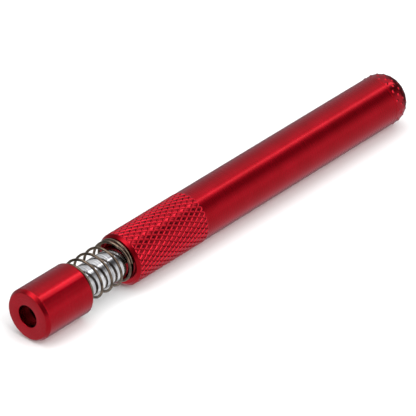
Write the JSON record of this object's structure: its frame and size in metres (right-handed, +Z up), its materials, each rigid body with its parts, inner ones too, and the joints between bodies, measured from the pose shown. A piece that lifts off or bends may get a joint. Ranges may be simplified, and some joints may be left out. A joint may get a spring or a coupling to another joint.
{
  "type": "pin vise drill",
  "caption": "Slim round hand drill holder with a spring-loaded nose sleeve over a split collet, a knurled grip and a hollow handle closed by a knurled tail cap.",
  "frame": {"origin": "centre of the hole in the nose sleeve's front face, with the sleeve fully forward", "axes": "+X along the tool's axis from the nose to the tail, +Z up with the tool lying level, +Y across it"},
  "size_m": [0.1, 0.01, 0.01],
  "materials": {
    "anodised_red_sleeve": "smooth turned, red anodised",
    "anodised_red_handle": "satin turned and knurled, red anodised",
    "anodised_red_cap": "satin turned and knurled, red anodised",
    "hardened_steel": "hardened and ground",
    "bush_metal": "turned",
    "spring_steel": "drawn wire, oil tempered",
    "polished_steel": "polished",
    "collet_steel": "ground",
    "black_rubber": "moulded"
  },
  "bodies": {
    "handle": {"handle_barrel": "anodised_red_handle", "spindle": "polished_steel", "collet_body": "collet_steel", "chuck_spring": "spring_steel"},
    "guide_bush": {"guide_bush": "bush_metal"},
    "sleeve": {"nose_sleeve": "anodised_red_sleeve", "closing_ring": "hardened_steel"},
    "jaw_1": {"collet_jaw_1": "collet_steel"},
    "jaw_2": {"collet_jaw_2": "collet_steel"},
    "jaw_3": {"collet_jaw_3": "collet_steel"},
    "jaw_4": {"collet_jaw_4": "collet_steel"},
    "cap_seal": {"tail_o_ring": "black_rubber"},
    "tail_cap": {"tail_cap": "anodised_red_cap"}
  },
  "joints": [
    {"name": "sleeve_slide", "type": "slide", "parent": "handle", "child": "guide_bush", "axis": [1, 0, 0], "range_m": [0, 0.0024], "stiffness_N_per_m": 340, "springref_m": -0.006, "deforming": ["chuck_spring"]},
    {"name": "sleeve_spin", "type": "hinge", "parent": "guide_bush", "child": "sleeve", "pos_m": [0.009, 0, 0], "axis": [1, 0, 0], "continuous": true},
    {"name": "jaw_1_open", "type": "hinge", "parent": "handle", "child": "jaw_1", "pos_m": [0.012, 0.00117, 0.00117], "axis": [0, 0.7071, -0.7071], "range_deg": [0, 2.6]},
    {"name": "jaw_2_open", "type": "hinge", "parent": "handle", "child": "jaw_2", "pos_m": [0.012, -0.00117, 0.00117], "axis": [0, 0.7071, 0.7071], "range_deg": [0, 2.6]},
    {"name": "jaw_3_open", "type": "hinge", "parent": "handle", "child": "jaw_3", "pos_m": [0.012, -0.00117, -0.00117], "axis": [0, -0.7071, 0.7071], "range_deg": [0, 2.6]},
    {"name": "jaw_4_open", "type": "hinge", "parent": "handle", "child": "jaw_4", "pos_m": [0.012, 0.00117, -0.00117], "axis": [0, -0.7071, -0.7071], "range_deg": [0, 2.6]},
    {"name": "seal_travel", "type": "slide", "parent": "handle", "child": "cap_seal", "axis": [1, 0, 0], "range_m": [0, 0.0054]},
    {"name": "cap_unscrew", "type": "hinge", "parent": "cap_seal", "child": "tail_cap", "pos_m": [0.0948, 0, 0], "axis": [1, 0, 0], "range_deg": [0, 2596]}
  ],
  "couplings": [
    {"joint": "jaw_1_open", "follows": "sleeve_slide", "rad_per_m": 18.181},
    {"joint": "jaw_2_open", "follows": "sleeve_slide", "rad_per_m": 18.181},
    {"joint": "jaw_3_open", "follows": "sleeve_slide", "rad_per_m": 18.181},
    {"joint": "jaw_4_open", "follows": "sleeve_slide", "rad_per_m": 18.181},
    {"joint": "cap_unscrew", "follows": "seal_travel", "rad_per_m": 8377.6}
  ]
}
